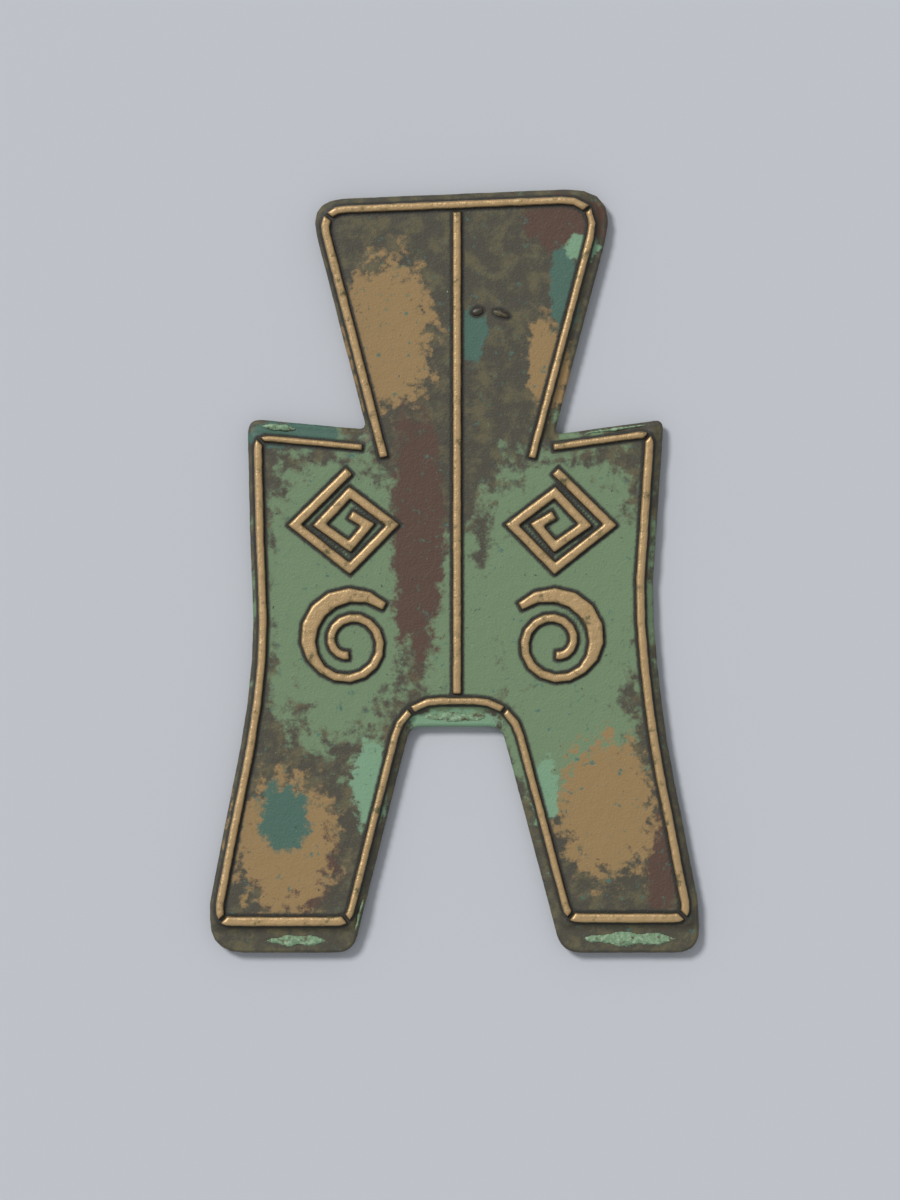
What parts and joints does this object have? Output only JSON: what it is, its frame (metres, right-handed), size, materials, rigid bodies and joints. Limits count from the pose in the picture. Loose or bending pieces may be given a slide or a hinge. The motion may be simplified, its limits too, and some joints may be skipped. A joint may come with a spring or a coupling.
{
  "type": "spade coin",
  "caption": "Flat cast bronze spade coin with a flared head, square shoulders, two square feet, raised rim and centre lines, spiral ornament and green mineral crusts.",
  "frame": {"origin": "under the middle of the plate's outline, on the surface the coin lies on", "axes": "+X to the right of the face, +Y from the feet to the head, +Z out of the face"},
  "size_m": [0.0288, 0.045, 0.0014],
  "materials": {
    "bronze_patina": "cast bronze with green, brown and olive patina",
    "bronze_worn": "raised bronze worn bright on its crest",
    "bronze_back": "raised bronze of the back, duller and browner",
    "mineral_crust": "rough green mineral crust"
  },
  "bodies": {
    "root": {"plate": "bronze_patina", "front_top_line": "bronze_worn", "front_head_left_line": "bronze_worn", "front_head_right_line": "bronze_worn", "front_shoulder_left_line": "bronze_worn", "front_shoulder_right_line": "bronze_worn", "front_side_left_line": "bronze_worn", "front_side_right_line": "bronze_worn", "front_foot_left_line": "bronze_worn", "front_foot_right_line": "bronze_worn", "front_leg_left_line": "bronze_worn", "front_leg_right_line": "bronze_worn", "front_crotch_line": "bronze_worn", "front_centre_line": "bronze_worn", "lozenge_key_left": "bronze_worn", "lozenge_key_right": "bronze_worn", "whorl_left": "bronze_worn", "whorl_right": "bronze_worn", "head_pip_left": "bronze_worn", "head_pip_right": "bronze_worn", "back_top_line": "bronze_back", "back_head_left_line": "bronze_back", "back_head_right_line": "bronze_back", "back_shoulder_left_line": "bronze_back", "back_shoulder_right_line": "bronze_back", "back_side_left_line": "bronze_back", "back_side_right_line": "bronze_back", "back_foot_left_line": "bronze_back", "back_foot_right_line": "bronze_back", "back_leg_left_line": "bronze_back", "back_leg_right_line": "bronze_back", "back_crotch_line": "bronze_back", "back_centre_line": "bronze_back", "back_fan_line_left": "bronze_back", "back_fan_line_right": "bronze_back", "shoulder_crust_left": "mineral_crust", "shoulder_crust_right": "mineral_crust", "foot_crust_left": "mineral_crust", "foot_crust_right": "mineral_crust", "leg_crust_left": "mineral_crust", "crotch_crust": "mineral_crust"}
  },
  "joints": []
}
